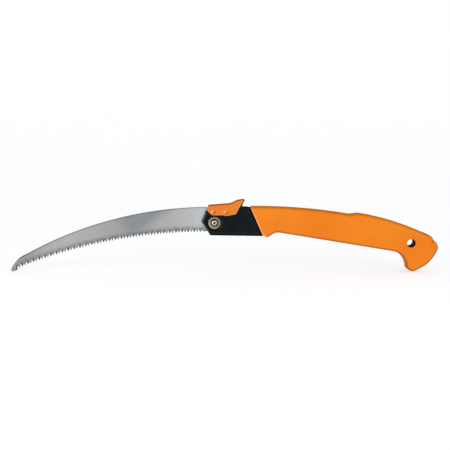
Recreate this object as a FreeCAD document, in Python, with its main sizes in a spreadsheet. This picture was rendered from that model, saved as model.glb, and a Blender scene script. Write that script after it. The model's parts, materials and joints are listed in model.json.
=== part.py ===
import FreeCAD, Part
import math
import os
import Sketcher

# Folding pruning saw, drawn open and upright. Everything is sketched in millimetres from the
# pivot: the blade points to -X, the handle to +X, +Z is up and the thickness runs along Y.
# Each sub-part is then placed so that the centre of the hanging hole is the origin.

doc = FreeCAD.newDocument("pruning_saw")
sheet = doc.addObject("Spreadsheet::Sheet", "dims")
Vector = FreeCAD.Vector
subparts = []
used_rows = [0]


def size(name, value, note):
    """Write one driving size into the sheet."""
    used_rows[0] += 1
    row = used_rows[0]
    sheet.set("A%d" % row, note)
    sheet.set("B%d" % row, "%g" % value)
    sheet.setAlias("B%d" % row, name)


def corners(prefix, points):
    """Write the corners of an outline into the sheet as prefix_corner_x and prefix_corner_z."""
    for corner, x, z in points:
        size("%s_%s_x" % (prefix, corner), x, "%s outline, %s, along" % (prefix, corner))
        size("%s_%s_z" % (prefix, corner), z, "%s outline, %s, height" % (prefix, corner))


# ---------------------------------------------------------------- sizes

size("hang_x", 250.3, "hanging hole centre, along from the pivot")
size("hang_z", -25.6, "hanging hole centre, height from the pivot")
size("hang_bore", 10.4, "hanging hole diameter")
size("hang_round", 0.7, "rounding of the hanging hole rims")
size("overrun", 1.0, "how far cuts run past a face")

size("blade_thickness", 1.5, "blade plate")
size("tang_radius", 11.87, "round tang, measured at the rim the lock pin rides on")
size("spine_radius", 487.91, "spine arc")
size("toothline_radius", 656.18, "arc through the tooth points")
size("toothline_x", -8.97, "centre of the tooth arc, along")
size("toothline_z", -668.29, "centre of the tooth arc, height")
size("tip_radius", 34.4, "curve from the spine into the tip")
size("tooth_pitch", 3.9, "tooth pitch, 6.5 teeth per inch")
size("tooth_depth", 4.8, "depth of the gullets")
size("gullet_mouth", 4.1, "width of a gullet at the tooth points")
size("left_gullets", 32, "gullets that lean to the left")
size("right_gullets", 31, "gullets that lean to the right, between the left ones")
size("gullet_reach", 8.0, "length of the slanted cut of a gullet")
size("gullet_grow", 1.5, "height of the cut of a gullet, in gullet depths")
size("tooth_bevel", 36.0, "bevel of the tooth flanks in plan, degrees")
size("first_gullet_x", -16.2, "first gullet, along")
size("notch_radius", 2.1, "lock notches in the tang")
size("notch_centre", 12.67, "lock notch centre from the pivot")
size("notch_open", 96.2, "lock notch used with the blade open, degrees from +X")
size("notch_folded", -66.4, "lock notch used with the blade folded, degrees from +X")
corners("blade", [
    ("heel_back", -4.0, -11.0),
    ("heel_front", -14.6, -11.5),
    ("first_tooth", -16.4, -12.15),
    ("last_tooth", -253.9, -59.54),
    ("chin", -253.4, -61.6),
    ("nose_low", -260.0, -63.5),
    ("nose", -261.3, -62.4),
    ("brow", -261.2, -60.0),
    ("forehead", -241.3, -40.8),
    ("shoulder", -9.6, 19.81),
    ("root", -9.6, 3.5)])

size("slot_half", 1.35, "half of the gap between the jaws")
size("jaw_half", 7.5, "half of the width over the jaws")
size("jaw_bevel", 2.2, "bevel round the jaw nose")
size("jaw_edge_bevel", 0.8, "bevel along the bottom of the jaws")
size("jaw_dish_radius", 10.0, "shallow dish round the pivot washer")
size("jaw_dish_depth", 0.6, "depth of the dish")
size("tongue_half", 5.35, "half of the width over the jaw tongues inside the handle")
corners("jaw", [
    ("nose_top", -11.3, 15.1),
    ("nose_mid", -16.6, 1.9),
    ("nose_low", -5.5, -16.0),
    ("back_low", 61.78, -17.0),
    ("back_top", 45.89, 19.2),
    ("hump_back", 38.2, 20.1),
    ("hump_front", 35.6, 19.8),
    ("saddle_back", 33.4, 18.2),
    ("saddle_mid", 30.0, 17.5),
    ("saddle_front", -8.2, 16.4)])
corners("tongue", [
    ("front_low", 43.0, 4.2),
    ("back_low", 80.0, 4.2),
    ("back_top", 80.0, 15.0),
    ("front_top", 43.0, 15.0)])
corners("spacer", [
    ("toe_low", 20.5, 8.4),
    ("belly_front", 30.0, 8.4),
    ("belly_mid", 36.0, 4.2),
    ("back_low", 80.0, 4.2),
    ("back_top", 80.0, 15.0),
    ("step_top", 30.0, 15.0),
    ("step_low", 30.0, 10.7),
    ("toe_top", 20.5, 10.7)])

size("barrel_radius", 4.0, "pivot sleeve")
size("blade_bore_play", 0.06, "radial play of the blade on the sleeve")
size("barrel_bore", 2.05, "bore of the pivot sleeve, radius")
size("screw_radius", 2.0, "M4 pivot screw shank")
size("screw_head_radius", 3.7, "M4 button head")
size("screw_head_height", 2.2, "M4 button head")
size("screw_dome", 1.54, "rounding of the button head")
size("screw_reach", 1.6, "reach of the screw into its nut")
size("hex_across", 2.5, "hex socket across flats")
size("hex_depth", 1.3, "hex socket depth")
size("nut_bore", 2.0, "bore of the pivot nut, radius")
size("nut_round", 1.1, "rounding of the pivot nut")
size("cup_radius", 7.9, "bronze cup washer, outside")
size("cup_seat", 6.1, "seat of the cup washer from the mid-plane")
size("cup_floor", 6.5, "floor of the cup from the mid-plane")
size("cup_recess", 4.6, "recess in the cup, radius")
size("cup_round", 0.45, "rounding of the cup rim")
size("thrust_radius", 9.5, "thrust washer, outside")
size("thrust_inner", 0.8, "thrust washer, blade side from the mid-plane")
size("thrust_outer", 1.3, "thrust washer, jaw side from the mid-plane")

size("hinge_x", 14.3, "latch hinge, along")
size("hinge_z", 13.5, "latch hinge, height")
size("hinge_radius", 1.5, "latch hinge rivet")
size("hinge_play", 0.05, "radial play of the rivet in the jaws")
size("lock_x", -1.4, "lock pin, along")
size("lock_z", 13.9, "lock pin, height")
size("lock_radius", 2.0, "lock pin")
size("lock_window", 2.25, "half of the width of the lock pin windows in the jaws")
size("lock_window_x", -1.39, "lock pin window, along")
size("lock_window_z", 12.6, "bottom of the lock pin window arc centre")
size("lock_window_top", 19.0, "top of the lock pin window cut")
size("rivet_head_radius", 2.7, "rivet heads on the latch")
size("rivet_head_height", 1.4, "rivet heads on the latch")
size("rivet_head_round", 1.3, "rounding of the rivet heads")
size("saddle_outer", 9.6, "half of the width over the latch")
size("saddle_inner", 7.65, "half of the gap inside the latch")
size("saddle_round", 0.6, "rounding of the latch edges")
corners("latch", [
    ("lip_top", -7.9, 21.8),
    ("lip_low", -9.9, 16.8),
    ("chin", -4.4, 11.2),
    ("belly_front", -2.2, 10.0),
    ("belly_mid", 11.0, 10.1),
    ("belly_back", 14.9, 9.1),
    ("heel", 27.1, 11.3),
    ("tab_low", 32.28, 20.86),
    ("tab_top", 36.9, 28.72),
    ("tab_tip", 36.1, 29.6),
    ("tab_front", 28.5, 28.0),
    ("tab_root", 22.3, 24.9),
    ("back_top", 20.0, 24.1),
    ("mid_top", 6.5, 22.9)])
corners("gap", [
    ("front_top", -14.0, 19.4),
    ("mid_top", 18.0, 19.8),
    ("tab_front", 23.5, 21.2),
    ("tab_mid", 29.2, 25.4),
    ("tab_back", 42.0, 27.9),
    ("back_low", 42.0, 3.0),
    ("front_low", -14.0, 3.0)])
corners("core", [
    ("front", 23.5, 21.2),
    ("low", 32.28, 20.86),
    ("back", 35.7, 26.67),
    ("top", 29.2, 25.4)])
corners("strip", [
    ("low_front", 32.28, 20.86),
    ("low_back", 33.4, 20.2),
    ("top_back", 38.4, 28.7),
    ("top_front", 37.28, 29.36)])
corners("foot", [
    ("low_front", 31.04, 18.57),
    ("low_back", 34.2, 18.3),
    ("mid_back", 35.0, 20.4),
    ("top_back", 36.2, 24.96),
    ("strip_back", 33.4, 20.2),
    ("strip_front", 32.28, 20.86)])
size("core_half", 7.65, "half of the width of the black insert between the cheeks")
size("strip_half", 9.0, "half of the width of the black strip behind the tab")

size("wire_radius", 0.4, "latch spring wire")
size("bow_radius", 2.4, "bow of the spring round the hinge rivet, to the middle of the wire")
size("free_leg_angle", 17.88, "free leg, degrees above +X")
size("free_leg_length", 15.4, "free leg, under the thumb tab")
size("fixed_leg_length", 12.5, "fixed leg, on the toe of the spacer")

size("handle_half", 11.5, "half of the handle thickness")
size("handle_round", 3.2, "rounding of the handle edges")
size("blade_slot_half", 1.6, "half of the blade slot in the handle")
size("handle_top_radius", 713.76, "long arc along the top")
size("handle_tail_radius", 329.53, "top arc towards the butt")
size("handle_rear_radius", 49.92, "arc round the butt")
size("hook_radius", 24.04, "inside of the finger hook")
size("slot_roof_radius", 652.5, "roof of the blade slot, along the folded teeth")
size("slot_end_radius", 269.3, "end of the blade slot, round the pivot")
corners("handle", [
    ("brow", 45.1, 21.0),
    ("collar_low", 62.0, -17.5),
    ("guard", 67.7, -19.6),
    ("guard_back", 73.6, -15.0),
    ("palm_front", 77.4, -12.8),
    ("palm_mid", 82.6, -12.8),
    ("palm_start", 91.5, -14.3),
    ("palm_end", 224.6, -36.2),
    ("hook_top", 229.8, -37.25),
    ("hook_front", 244.55, -57.5),
    ("hook_tip", 245.2, -59.5),
    ("hook_low", 252.6, -63.1),
    ("butt_low", 285.6, -31.6),
    ("butt_top", 282.8, -25.1),
    ("notch", 278.8, -22.9),
    ("tail_end", 276.2, -17.9),
    ("tail_start", 188.8, 11.6),
    ("step_high", 183.7, 12.5),
    ("step_mid", 178.6, 12.1),
    ("step_low", 173.4, 10.9)])
corners("slot", [
    ("mouth_top", 40.0, 3.89),
    ("roof_turn", 257.0, -16.2),
    ("roof_end", 267.3, -16.5),
    ("end_top", 268.75, -17.25),
    ("end_low", 261.09, -66.0),
    ("mouth_low", 40.0, -66.0)])

size("post_radius", 1.5, "handle screw shank")
size("post_play", 0.1, "radial play of the handle screws in the rear shell and tongues")
size("post_depth", 7.5, "reach of the handle screws into the front shell")
size("post_head_radius", 2.8, "handle screw head")
size("post_head_height", 2.2, "handle screw head")
size("post_dome", 1.0, "rounding of the handle screw heads")
size("post_seat", 7.0, "seat of the handle screw heads from the mid-plane")
size("post_recess", 3.3, "recess round the handle screw heads, radius")
size("cross_long", 3.4, "cross recess, length")
size("cross_wide", 0.8, "cross recess, width")
size("cross_depth", 1.1, "cross recess, depth")
corners("post", [
    ("a", 57.0, 10.0),
    ("b", 72.0, 9.6),
    ("c", 125.0, 4.0),
    ("d", 183.0, -2.0),
    ("e", 234.0, -9.5),
    ("f", 275.5, -34.0)])
doc.recompute()

# ---------------------------------------------------------------- drawing helpers


def named(text):
    """Turn bare size names of an expression into references to the sheet."""
    words = []
    for word in text.split(" "):
        bare = word.strip("()-")
        if bare and bare[0].isalpha() and bare not in ("sin", "cos", "sqrt", "deg"):
            word = word.replace(bare, "dims." + bare)
        words.append(word)
    return " ".join(words)


def value(text):
    """Value of an expression written with size names."""
    result = sheet.evalExpression(named(text))
    return float(getattr(result, "Value", result))


def new_body(label):
    """A body for one sub-part, placed so that the hanging hole is the origin."""
    body = doc.addObject("PartDesign::Body", label)
    body.Label = label
    place(body)
    return body


def place(subpart):
    subpart.setExpression("Placement.Base.x", named("-hang_x"))
    subpart.setExpression("Placement.Base.z", named("-hang_z"))
    subparts.append(subpart)


def new_sketch(body, name, depth="0"):
    """An upright sketch whose plane lies at Y = depth."""
    sketch = body.newObject("Sketcher::SketchObject", name)
    upright = [item for item in body.Origin.OriginFeatures if item.Role == "XZ_Plane"][0]
    sketch.AttachmentSupport = [(upright, "")]
    sketch.MapMode = "FlatFace"
    sketch.setExpression("AttachmentOffset.Base.z", named("-(" + depth + ")"))
    return sketch


def bind(sketch, kind, element, point, text):
    """Tie one coordinate of a sketch point to the sheet."""
    index = sketch.addConstraint(
        Sketcher.Constraint(kind, -1, 1, element, point, value(text)))
    sketch.setExpression("Constraints[%d]" % index, named(text))


def short_arc(start, end, radius, clockwise):
    """The short arc of the given radius from start to end, drawn counter-clockwise."""
    half = end.sub(start).multiply(0.5)
    reach = math.sqrt(max(radius ** 2 - half.Length ** 2, 0.0))
    left = Vector(-half.y, half.x, 0).normalize().multiply(-reach if clockwise else reach)
    centre = start.add(half).add(left)
    angles = [math.atan2(point.y - centre.y, point.x - centre.x)
              for point in ((end, start) if clockwise else (start, end))]
    if angles[1] < angles[0]:
        angles[1] += 2 * math.pi
    return Part.ArcOfCircle(Part.Circle(centre, Vector(0, 0, 1), radius), angles[0], angles[1])


def outline(sketch, prefix, names, arcs=None):
    """A closed outline through sheet corners; arcs maps a corner to the arc that leaves it."""
    arcs = arcs or {}
    points = [Vector(value("%s_%s_x" % (prefix, name)), value("%s_%s_z" % (prefix, name)), 0)
              for name in names]
    starts = []
    for i, name in enumerate(names):
        start = points[i]
        end = points[(i + 1) % len(names)]
        if name in arcs:
            radius, clockwise = arcs[name]
            element = sketch.addGeometry(short_arc(start, end, value(radius), clockwise))
            starts.append((element, 2, 1) if clockwise else (element, 1, 2))
        else:
            element = sketch.addGeometry(Part.LineSegment(start, end))
            starts.append((element, 1, 2))
    for i, name in enumerate(names):
        element, first, last = starts[i]
        following, next_first, next_last = starts[(i + 1) % len(names)]
        sketch.addConstraint(Sketcher.Constraint("Coincident", element, last, following, next_first))
        bind(sketch, "DistanceX", element, first, "%s_%s_x" % (prefix, name))
        bind(sketch, "DistanceY", element, first, "%s_%s_z" % (prefix, name))
        if name in arcs:
            radius = arcs[name][0]
            index = sketch.addConstraint(Sketcher.Constraint("Radius", element, value(radius)))
            sketch.setExpression("Constraints[%d]" % index, named(radius))


def circle(sketch, radius, x=None, z=None):
    """A circle round the pivot, or round a point given by size names."""
    centre = Vector(value(x) if x else 0, value(z) if z else 0, 0)
    element = sketch.addGeometry(Part.Circle(centre, Vector(0, 0, 1), value(radius)))
    if x:
        bind(sketch, "DistanceX", element, 3, x)
        bind(sketch, "DistanceY", element, 3, z)
    else:
        sketch.addConstraint(Sketcher.Constraint("Coincident", element, 3, -1, 1))
    index = sketch.addConstraint(Sketcher.Constraint("Radius", element, value(radius)))
    sketch.setExpression("Constraints[%d]" % index, named(radius))


def extrude(body, kind, sketch, length):
    """Pad towards -Y, or pocket towards +Y, from the plane of the sketch."""
    feature = body.newObject(kind, sketch.Name + "_run")
    feature.Profile = sketch
    feature.setExpression("Length", named(length))
    sketch.Visibility = False
    body.Tip = feature
    return feature


def span(side, inner, outer):
    """Low and high ends along Y of a layer on the front (-Y) or the rear (+Y)."""
    if side == "front":
        return "-(" + outer + ")", "-(" + inner + ")"
    return inner, outer


def pad_outline(body, name, prefix, names, low, high, arcs=None):
    sketch = new_sketch(body, name, high)
    outline(sketch, prefix, names, arcs)
    return extrude(body, "PartDesign::Pad", sketch, "(" + high + ") - (" + low + ")")


def cut_outline(body, name, prefix, names, low, high, arcs=None):
    sketch = new_sketch(body, name, low)
    outline(sketch, prefix, names, arcs)
    return extrude(body, "PartDesign::Pocket", sketch, "(" + high + ") - (" + low + ")")


def pad_disc(body, name, low, high, radius, x=None, z=None):
    sketch = new_sketch(body, name, high)
    circle(sketch, radius, x, z)
    return extrude(body, "PartDesign::Pad", sketch, "(" + high + ") - (" + low + ")")


def cut_bar(body, name, low, high, x, z, long_x, long_z):
    """Cut an upright rectangle centred on x, z."""
    sketch = new_sketch(body, name, low)
    ends = [("-", "-"), ("+", "-"), ("+", "+"), ("-", "+")]
    texts = [("%s %s ( %s ) / 2" % (x, east, long_x), "%s %s ( %s ) / 2" % (z, north, long_z))
             for east, north in ends]
    points = [Vector(value(along), value(up), 0) for along, up in texts]
    for i in range(4):
        sketch.addGeometry(Part.LineSegment(points[i], points[(i + 1) % 4]))
    for i in range(4):
        sketch.addConstraint(Sketcher.Constraint("Coincident", i, 2, (i + 1) % 4, 1))
        bind(sketch, "DistanceX", i, 1, texts[i][0])
        bind(sketch, "DistanceY", i, 1, texts[i][1])
    return extrude(body, "PartDesign::Pocket", sketch, "(" + high + ") - (" + low + ")")


def cut_disc(body, name, low, high, radius, x=None, z=None):
    sketch = new_sketch(body, name, low)
    circle(sketch, radius, x, z)
    return extrude(body, "PartDesign::Pocket", sketch, "(" + high + ") - (" + low + ")")


def dress(body, kind, name, amount, wanted):
    """Round or bevel the edges of the tip for which wanted(edge) is true."""
    doc.recompute()
    base = body.Tip
    edges = ["Edge%d" % (i + 1) for i, edge in enumerate(base.Shape.Edges) if wanted(edge)]
    feature = body.newObject(kind, name)
    feature.Base = (base, edges)
    feature.setExpression("Radius" if kind.endswith("Fillet") else "Size", named(amount))
    body.Tip = feature
    return feature


def lies_at(edge, depth):
    """True when the whole edge lies at Y = depth."""
    box = edge.BoundBox
    return abs(box.YMin - depth) < 1e-4 and abs(box.YMax - depth) < 1e-4


def is_circle(edge, radius):
    return isinstance(edge.Curve, Part.Circle) and abs(edge.Curve.Radius - radius) < 1e-4


# ---------------------------------------------------------------- blade

blade = new_body("blade")
pad_outline(blade, "blade_plate", "blade",
            ["heel_back", "heel_front", "first_tooth", "last_tooth", "chin", "nose_low", "nose",
             "brow", "forehead", "shoulder", "root"],
            "-blade_thickness / 2", "blade_thickness / 2",
            {"first_tooth": ("toothline_radius", False),
             "brow": ("tip_radius", True),
             "forehead": ("spine_radius", True)})
pad_disc(blade, "tang", "-blade_thickness / 2", "blade_thickness / 2", "tang_radius")
cut_disc(blade, "pivot_bore", "-blade_thickness", "blade_thickness",
         "barrel_radius + blade_bore_play")
for state in ("open", "folded"):
    angle = "notch_%s * 1 deg" % state
    cut_disc(blade, "lock_notch_" + state, "-blade_thickness", "blade_thickness", "notch_radius",
             "notch_centre * cos( %s )" % angle, "notch_centre * sin( %s )" % angle)

# Teeth: V gullets run out of square to the plate, left and right in turn, so that every tooth
# is bevelled on both flanks and neighbouring teeth are bevelled from opposite faces.
doc.recompute()


def gullets(name, shift, lean):
    """One V gullet leaning by lean, repeated along the tooth arc at every second pitch."""
    sketch = new_sketch(blade, name)
    count = name + "s"
    arc = value("toothline_radius")
    first = math.asin((value("first_gullet_x") - value("toothline_x")) / arc)
    turn = math.degrees(-first) + shift * math.degrees(value("tooth_pitch") / arc)
    sketch.setExpression("AttachmentOffset.Base.x", named("toothline_x"))
    sketch.setExpression("AttachmentOffset.Base.y", named("toothline_z"))
    sketch.AttachmentOffset.Rotation = FreeCAD.Rotation(Vector(0, 0, 1), turn)
    root = "toothline_radius + tooth_depth"
    mouth = "gullet_mouth / 2 * gullet_grow"
    below = root + " - tooth_depth * gullet_grow"
    profile = [Vector(0, value(root), 0),
               Vector(value(mouth), value(below), 0),
               Vector(-value(mouth), value(below), 0)]
    for i in range(3):
        sketch.addGeometry(Part.LineSegment(profile[i], profile[(i + 1) % 3]))
    for i in range(3):
        sketch.addConstraint(Sketcher.Constraint("Coincident", i, 2, (i + 1) % 3, 1))
    sketch.addConstraint(Sketcher.Constraint("PointOnObject", 0, 1, -2))
    sketch.addConstraint(Sketcher.Constraint("Horizontal", 1))
    limits = [("DistanceY", 0, 1, root),
              ("DistanceX", 1, 1, mouth),
              ("DistanceX", 1, 2, "-1 * " + mouth),
              ("DistanceY", 1, 1, below)]
    for kind, element, point, text in limits:
        bind(sketch, kind, element, point, text)
    pocket = blade.newObject("PartDesign::Pocket", name + "_cut")
    pocket.Profile = sketch
    pocket.Midplane = True
    pocket.setExpression("Length", named("gullet_reach"))
    pocket.UseCustomVector = True
    along = math.radians(turn)
    tilt = math.radians(value("tooth_bevel")) * lean
    pocket.Direction = Vector(math.cos(along) * math.sin(tilt), math.cos(tilt),
                              math.sin(along) * math.sin(tilt))
    blade.Tip = pocket
    row = blade.newObject("PartDesign::PolarPattern", name + "_row")
    row.Originals = [pocket]
    row.Axis = (sketch, ["N_Axis"])
    row.setExpression("Occurrences", named(count))
    row.Angle = math.degrees(value("tooth_pitch") * 2 * (value(count) - 1) / arc)
    blade.Tip = row
    sketch.Visibility = False
    return row


gullets("left_gullet", 0, 1)
gullets("right_gullet", 1, -1)

# ---------------------------------------------------------------- pivot

barrel = new_body("pivot_barrel")
pad_disc(barrel, "sleeve", "-cup_seat", "cup_seat", "barrel_radius")
cut_disc(barrel, "sleeve_bore", "-cup_floor", "cup_floor", "barrel_bore")

screw = new_body("pivot_screw")
pad_disc(screw, "shank", "-cup_floor", "cup_floor + screw_reach", "screw_radius")
pad_disc(screw, "head", "-cup_floor - screw_head_height", "-cup_floor", "screw_head_radius")
dress(screw, "PartDesign::Fillet", "head_dome", "screw_dome",
      lambda edge: lies_at(edge, -value("cup_floor + screw_head_height")))
hexagon = new_sketch(screw, "hex_socket", "-cup_floor - screw_head_height")
hex_reach = value("hex_across / sqrt( 3 )")
hex_corners = [Vector(hex_reach * math.cos(math.radians(60 * i)),
                      hex_reach * math.sin(math.radians(60 * i)), 0)
               for i in range(6)]
for i in range(6):
    hexagon.addGeometry(Part.LineSegment(hex_corners[i], hex_corners[(i + 1) % 6]))
ring = hexagon.addGeometry(Part.Circle(Vector(0, 0, 0), Vector(0, 0, 1), hex_reach), True)
hexagon.addConstraint(Sketcher.Constraint("Coincident", ring, 3, -1, 1))
for i in range(6):
    hexagon.addConstraint(Sketcher.Constraint("Coincident", i, 2, (i + 1) % 6, 1))
    hexagon.addConstraint(Sketcher.Constraint("PointOnObject", i, 1, ring))
for i in range(5):
    hexagon.addConstraint(Sketcher.Constraint("Equal", i, i + 1))
hexagon.addConstraint(Sketcher.Constraint("PointOnObject", 0, 1, -1))
index = hexagon.addConstraint(Sketcher.Constraint("Radius", ring, hex_reach))
hexagon.setExpression("Constraints[%d]" % index, named("hex_across / sqrt( 3 )"))
extrude(screw, "PartDesign::Pocket", hexagon, "hex_depth")

nut = new_body("pivot_nut")
pad_disc(nut, "nut_disc", "cup_floor", "cup_floor + screw_head_height", "screw_head_radius")
cut_disc(nut, "nut_bore_cut", "cup_floor - overrun", "cup_floor + screw_reach", "nut_bore")
dress(nut, "PartDesign::Fillet", "nut_dome", "nut_round",
      lambda edge: lies_at(edge, value("cup_floor + screw_head_height")))

for side in ("front", "rear"):
    cup = new_body("pivot_washer_" + side)
    low, high = span(side, "cup_seat", "jaw_half")
    pad_disc(cup, "cup_" + side, low, high, "cup_radius")
    low, high = span(side, "cup_floor", "jaw_half + overrun")
    cut_disc(cup, "cup_recess_" + side, low, high, "cup_recess")
    low, high = span(side, "cup_seat - overrun", "cup_floor + overrun")
    cut_disc(cup, "cup_bore_" + side, low, high, "screw_radius")
    face = value("jaw_half") * (-1 if side == "front" else 1)
    dress(cup, "PartDesign::Fillet", "cup_rim_" + side, "cup_round",
          lambda edge: lies_at(edge, face))
    thrust = new_body("thrust_washer_" + side)
    low, high = span(side, "thrust_inner", "thrust_outer")
    pad_disc(thrust, "thrust_" + side, low, high, "thrust_radius")
    low, high = span(side, "thrust_inner - overrun", "thrust_outer + overrun")
    cut_disc(thrust, "thrust_bore_" + side, low, high, "barrel_radius")

# ---------------------------------------------------------------- jaws

JAW_NAMES = ["nose_top", "nose_mid", "nose_low", "back_low", "back_top", "hump_back", "hump_front",
             "saddle_back", "saddle_mid", "saddle_front"]
TONGUE_NAMES = ["front_low", "back_low", "back_top", "front_top"]

for side in ("front", "rear"):
    jaw = new_body("jaw_" + side)
    low, high = span(side, "slot_half", "jaw_half")
    pad_outline(jaw, "cheek_" + side, "jaw", JAW_NAMES, low, high)
    face = value("jaw_half") * (-1 if side == "front" else 1)
    nose_end = value("jaw_nose_low_x")

    def on_nose(edge):
        return lies_at(edge, face) and edge.BoundBox.XMax < nose_end + 0.01

    def on_long_edges(edge):
        box = edge.BoundBox
        level = box.XLength > 10 and box.ZLength < 2
        return lies_at(edge, face) and level and box.ZMax < 0

    dress(jaw, "PartDesign::Chamfer", "nose_bevel_" + side, "jaw_bevel", on_nose)
    dress(jaw, "PartDesign::Chamfer", "edge_bevel_" + side, "jaw_edge_bevel", on_long_edges)
    low, high = span(side, "slot_half", "tongue_half")
    pad_outline(jaw, "tongue_pad_" + side, "tongue", TONGUE_NAMES, low, high)
    low, high = span(side, "jaw_half - jaw_dish_depth", "jaw_half + overrun")
    cut_disc(jaw, "dish_" + side, low, high, "jaw_dish_radius")
    low, high = span(side, "cup_seat", "jaw_half + overrun")
    cut_disc(jaw, "cup_seat_" + side, low, high, "cup_radius")
    low, high = span(side, "slot_half - overrun", "jaw_half + overrun")
    cut_disc(jaw, "sleeve_seat_" + side, low, high, "barrel_radius")
    cut_disc(jaw, "hinge_seat_" + side, low, high, "hinge_radius + hinge_play",
             "hinge_x", "hinge_z")
    cut_disc(jaw, "lock_window_end_" + side, low, high, "lock_window",
             "lock_window_x", "lock_window_z")
    cut_bar(jaw, "lock_window_" + side, low, high,
            "lock_window_x", "( lock_window_z + lock_window_top ) / 2",
            "2 * lock_window", "lock_window_top - lock_window_z")
    for post in ("a", "b"):
        cut_disc(jaw, "post_hole_%s_%s" % (post, side), low, high, "post_radius + post_play",
                 "post_%s_x" % post, "post_%s_z" % post)

spacer = new_body("jaw_spacer")
pad_outline(spacer, "spacer_block", "spacer",
            ["toe_low", "belly_front", "belly_mid", "back_low", "back_top", "step_top",
             "step_low", "toe_top"],
            "-slot_half", "slot_half")
for post in ("a", "b"):
    cut_disc(spacer, "spacer_hole_" + post, "-slot_half - overrun", "slot_half + overrun",
             "post_radius + post_play", "post_%s_x" % post, "post_%s_z" % post)

# ---------------------------------------------------------------- latch

saddle = new_body("latch_saddle")
pad_outline(saddle, "saddle_block", "latch",
            ["lip_top", "lip_low", "chin", "belly_front", "belly_mid", "belly_back", "heel",
             "tab_low", "tab_top", "tab_tip", "tab_front", "tab_root", "back_top", "mid_top"],
            "-saddle_outer", "saddle_outer")
dress(saddle, "PartDesign::Fillet", "saddle_edges", "saddle_round",
      lambda edge: lies_at(edge, value("saddle_outer")) or lies_at(edge, -value("saddle_outer")))
cut_outline(saddle, "saddle_gap", "gap",
            ["front_top", "mid_top", "tab_front", "tab_mid", "tab_back", "back_low", "front_low"],
            "-saddle_inner", "saddle_inner")
cut_disc(saddle, "saddle_hinge", "-saddle_outer - overrun", "saddle_outer + overrun", "hinge_radius",
         "hinge_x", "hinge_z")
cut_disc(saddle, "saddle_lock", "-saddle_outer - overrun", "saddle_outer + overrun", "lock_radius",
         "lock_x", "lock_z")

core = new_body("latch_core")
pad_outline(core, "core_block", "core", ["front", "low", "back", "top"],
            "-core_half", "core_half")
pad_outline(core, "core_strip", "strip", ["low_front", "low_back", "top_back", "top_front"],
            "-strip_half", "strip_half")
for side in ("front", "rear"):
    low, high = span(side, "core_half", "strip_half")
    pad_outline(core, "core_foot_" + side, "foot",
                ["low_front", "low_back", "mid_back", "top_back", "strip_back", "strip_front"],
                low, high)

for label, prefix in (("latch_hinge_rivet", "hinge"), ("latch_lock_pin", "lock")):
    pin = new_body(label)
    centre = (prefix + "_x", prefix + "_z")
    pad_disc(pin, prefix + "_shank", "-saddle_outer", "saddle_outer", prefix + "_radius", *centre)
    for side in ("front", "rear"):
        low, high = span(side, "saddle_outer", "saddle_outer + rivet_head_height")
        pad_disc(pin, "%s_head_%s" % (prefix, side), low, high, "rivet_head_radius", *centre)
    top = value("saddle_outer + rivet_head_height")
    dress(pin, "PartDesign::Fillet", prefix + "_domes", "rivet_head_round",
          lambda edge: lies_at(edge, top) or lies_at(edge, -top))

# The hairpin spring is bent from round wire on the mid-plane: a bow round the hinge rivet and
# two straight legs that leave it along its tangents.
bow = doc.addObject("Part::Torus", "spring_bow")
bow.setExpression("Radius1", named("bow_radius"))
bow.setExpression("Radius2", named("wire_radius"))
bow.setExpression("Angle3", named("180 - free_leg_angle"))
bow.setExpression("Placement.Base.x", named("hinge_x"))
bow.setExpression("Placement.Base.z", named("hinge_z"))
upright = FreeCAD.Rotation(Vector(1, 0, 0), 90)
bow_start = FreeCAD.Rotation(Vector(0, 0, 1), 90 + value("free_leg_angle"))
bow.Placement.Rotation = upright.multiply(bow_start)
legs = []
for name, angle, length, reach in (
        ("free_leg", "free_leg_angle", "free_leg_length", "bow_radius"),
        ("fixed_leg", "0", "fixed_leg_length", "-1 * bow_radius")):
    leg = doc.addObject("Part::Cylinder", name)
    leg.setExpression("Radius", named("wire_radius"))
    leg.setExpression("Height", named(length))
    turn = "( " + angle + " * 1 deg )"
    leg.setExpression("Placement.Base.x", named("hinge_x - " + reach + " * sin" + turn))
    leg.setExpression("Placement.Base.z", named("hinge_z + " + reach + " * cos" + turn))
    leg.Placement.Rotation = FreeCAD.Rotation(Vector(0, 1, 0), 90 - value(angle))
    legs.append(leg)
spring = doc.addObject("Part::MultiFuse", "latch_spring")
spring.Label = "latch_spring"
spring.Shapes = [bow] + legs
place(spring)

# ---------------------------------------------------------------- handle

HANDLE_NAMES = ["brow", "collar_low", "guard", "guard_back", "palm_front", "palm_mid",
                "palm_start", "palm_end", "hook_top", "hook_front", "hook_tip", "hook_low",
                "butt_low", "butt_top", "notch", "tail_end", "tail_start", "step_high",
                "step_mid", "step_low"]
HANDLE_ARCS = {"hook_top": ("hook_radius", True),
               "hook_low": ("handle_rear_radius", False),
               "tail_end": ("handle_tail_radius", False),
               "step_low": ("handle_top_radius", False)}
POSTS = ["a", "b", "c", "d", "e", "f"]


def draw_shell(shell, side):
    """One handle shell, drawn on the rear (+Y) half."""
    pad_outline(shell, "shell_" + side, "handle", HANDLE_NAMES, "0", "handle_half", HANDLE_ARCS)
    dress(shell, "PartDesign::Fillet", "shell_round_" + side, "handle_round",
          lambda edge: lies_at(edge, value("handle_half")))
    cut_outline(shell, "blade_slot_" + side, "slot",
                ["mouth_top", "roof_turn", "roof_end", "end_top", "end_low", "mouth_low"],
                "-overrun", "blade_slot_half",
                {"mouth_top": ("slot_roof_radius", False),
                 "end_top": ("slot_end_radius", True)})
    cut_outline(shell, "tongue_seat_" + side, "tongue", TONGUE_NAMES, "-overrun", "tongue_half")
    cut_disc(shell, "hanging_hole_" + side, "-overrun", "handle_half + overrun", "hang_bore / 2",
             "hang_x", "hang_z")
    dress(shell, "PartDesign::Fillet", "hanging_rim_" + side, "hang_round",
          lambda edge: lies_at(edge, value("handle_half")) and
          is_circle(edge, value("hang_bore / 2")))


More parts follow.
